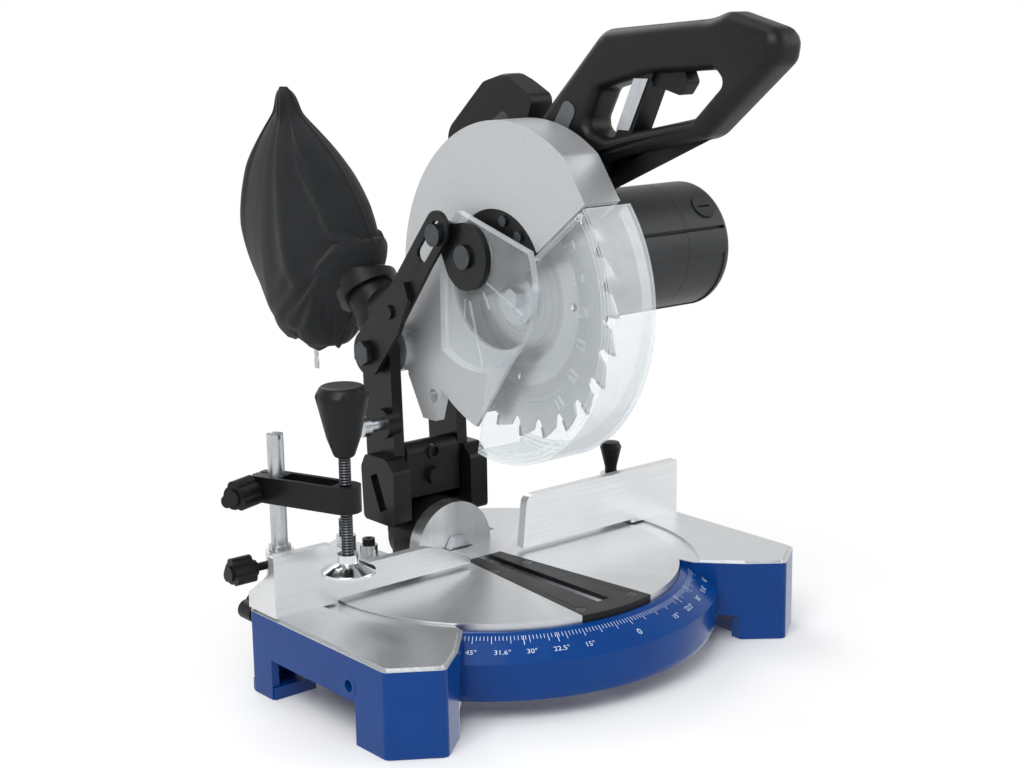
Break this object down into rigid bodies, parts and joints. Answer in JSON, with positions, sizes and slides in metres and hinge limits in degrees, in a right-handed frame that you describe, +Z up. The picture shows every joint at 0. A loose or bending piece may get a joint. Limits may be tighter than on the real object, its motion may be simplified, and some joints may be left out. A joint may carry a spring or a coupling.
{
  "type": "mitre saw",
  "caption": "Compact mitre saw with turntable, bevel bracket, chopping head with motor, clear lower guard on a lever, D-handle, fence, screw clamp and dust bag.",
  "frame": {"origin": "bench level, in the middle of the four bench bolts", "axes": "+X operator's right, +Y away from the operator, +Z up"},
  "size_m": [0.4213, 0.6071, 0.4781],
  "materials": {
    "blue_paint": "gloss paint on a casting",
    "bare_aluminium": "machined",
    "bright_steel": "bright",
    "carbide": "ground",
    "silver_paint": "satin silver",
    "black_steel": "satin black",
    "black_plastic": "fine grain",
    "grey_rubber": "matt",
    "bag_cloth": "woven",
    "clear_polycarbonate": "clear moulded"
  },
  "bodies": {
    "base": {"base_casting": "blue_paint", "left_fence": "bare_aluminium", "right_fence": "bare_aluminium", "fence_bolts": "black_steel", "pivot_bolt": "bright_steel"},
    "rear_knob": {"rear_lock_knob": "black_plastic"},
    "thumbscrew": {"fence_thumbscrew": "black_plastic"},
    "post": {"clamp_post": "bright_steel"},
    "post_knob": {"post_lock_knob": "black_plastic"},
    "arm": {"clamp_arm": "black_steel"},
    "arm_knob": {"arm_lock_knob": "black_plastic"},
    "foot": {"clamp_foot": "bright_steel"},
    "screw": {"clamp_screw": "black_steel", "clamp_knob": "black_plastic"},
    "table": {"turntable": "bare_aluminium", "table_insert": "black_plastic", "insert_screws": "bright_steel", "bevel_stop_bolts": "black_steel", "bevel_bolt": "bright_steel"},
    "bevel_lever": {"bevel_lock_lever": "black_plastic"},
    "tilt": {"tilt_bracket": "black_steel", "hinge_pin": "bright_steel", "laser_module": "black_plastic", "return_spring": "bright_steel"},
    "laser_switch": {"laser_knob": "black_plastic"},
    "lock": {"lock_pin": "bright_steel"},
    "head": {"upper_guard": "silver_paint", "guard_carrier": "black_steel", "carrier_screws": "bright_steel", "guard_bolt": "bright_steel", "gear_housing": "black_plastic", "motor_housing": "black_plastic", "motor_end_cap": "black_plastic", "brush_caps": "black_plastic", "brushes": "black_plastic", "stator": "bright_steel", "bearings": "bright_steel", "handle_left": "black_plastic", "handle_right": "black_plastic", "handle_pad": "grey_rubber", "strut_plate": "bright_steel", "carry_handle": "black_plastic", "switch_block": "black_plastic", "dust_port": "black_plastic", "bag_collar": "black_plastic", "dust_bag": "bag_cloth"},
    "trigger": {"trigger": "black_plastic"},
    "guard": {"lower_guard": "clear_polycarbonate", "guard_plate": "black_steel", "tie_screw": "bright_steel"},
    "lever": {"guard_lever": "black_steel", "lever_plate": "black_steel"},
    "blade": {"saw_blade": "bright_steel", "carbide_tips": "carbide", "blade_flanges": "bright_steel", "spindle": "bright_steel", "drive_gear": "bright_steel"},
    "rotor": {"armature": "bright_steel", "motor_fan": "black_plastic"}
  },
  "joints": [
    {"name": "mitre_turn", "type": "hinge", "parent": "base", "child": "table", "pos_m": [0, 0.05, 0.063], "axis": [0, 0, 1], "range_deg": [-45, 45]},
    {"name": "bevel_tilt", "type": "hinge", "parent": "table", "child": "tilt", "pos_m": [0, 0.125, 0.063], "axis": [0, -1, 0], "range_deg": [0, 15]},
    {"name": "chop", "type": "hinge", "parent": "tilt", "child": "head", "pos_m": [0, 0.15, 0.219], "axis": [1, 0, 0], "range_deg": [0, 45], "stiffness_Nm_per_rad": 8, "springref_deg": -91.67, "deforming": ["return_spring"]},
    {"name": "guard_swing", "type": "hinge", "parent": "head", "child": "guard", "pos_m": [0, 0.0375, 0.305], "axis": [-1, 0, 0], "range_deg": [0, 84.8]},
    {"name": "lever_swing", "type": "hinge", "parent": "tilt", "child": "lever", "pos_m": [0, 0.15, 0.219], "axis": [1, 0, 0], "range_deg": [0, 61.3]},
    {"name": "blade_spin", "type": "hinge", "parent": "head", "child": "blade", "pos_m": [0, 0.014, 0.274], "axis": [1, 0, 0], "continuous": true},
    {"name": "rotor_spin", "type": "hinge", "parent": "head", "child": "rotor", "pos_m": [0, -0.0011, 0.301], "axis": [1, 0, 0], "continuous": true},
    {"name": "trigger_press", "type": "slide", "parent": "head", "child": "trigger", "axis": [0, 0, 1], "range_m": [0, 0.004], "stiffness_N_per_m": 900, "springref_m": -0.004},
    {"name": "rear_knob_turn", "type": "hinge", "parent": "base", "child": "rear_knob", "pos_m": [-0.178, 0.095, 0.054], "axis": [0, 1, 0], "range_deg": [0, 360]},
    {"name": "thumbscrew_turn", "type": "hinge", "parent": "base", "child": "thumbscrew", "pos_m": [0.15, 0.079, 0.11], "axis": [0, 0, 1], "range_deg": [0, 360]},
    {"name": "post_turn", "type": "hinge", "parent": "base", "child": "post", "pos_m": [-0.178, 0.075, 0.12], "axis": [0, 0, 1], "range_deg": [-55, 0]},
    {"name": "post_knob_turn", "type": "hinge", "parent": "base", "child": "post_knob", "pos_m": [-0.205, 0.075, 0.095], "axis": [-1, 0, 0], "range_deg": [0, 360]},
    {"name": "arm_slide", "type": "slide", "parent": "post", "child": "arm", "axis": [0, 0, 1], "range_m": [-0.012, 0.002]},
    {"name": "arm_knob_turn", "type": "hinge", "parent": "arm", "child": "arm_knob", "pos_m": [-0.18197, 0.08579, 0.15], "axis": [-0.9385, -0.3453, 0], "range_deg": [0, 360]},
    {"name": "foot_slide", "type": "slide", "parent": "arm", "child": "foot", "axis": [0, 0, 1], "range_m": [-0.018, 0]},
    {"name": "screw_turn", "type": "hinge", "parent": "foot", "child": "screw", "pos_m": [-0.15728, 0.01869, 0.15], "axis": [0, 0, 1], "range_deg": [-5185, 0]},
    {"name": "bevel_lever_turn", "type": "hinge", "parent": "table", "child": "bevel_lever", "pos_m": [0, 0.166, 0.063], "axis": [0, 1, 0], "range_deg": [0, 50]},
    {"name": "laser_knob_turn", "type": "hinge", "parent": "tilt", "child": "laser_switch", "pos_m": [-0.001, 0.128, 0.117], "axis": [0, -1, 0], "range_deg": [0, 90]},
    {"name": "lock_pin_push", "type": "slide", "parent": "tilt", "child": "lock", "axis": [1, 0, 0], "range_m": [0, 0.012]}
  ],
  "couplings": [
    {"joint": "guard_swing", "follows": "chop", "ratio": 1.8846},
    {"joint": "lever_swing", "follows": "chop", "ratio": 1.3615},
    {"joint": "rotor_spin", "follows": "blade_spin", "ratio": -4.1667},
    {"joint": "screw_turn", "follows": "foot_slide", "rad_per_m": 5026.5}
  ]
}
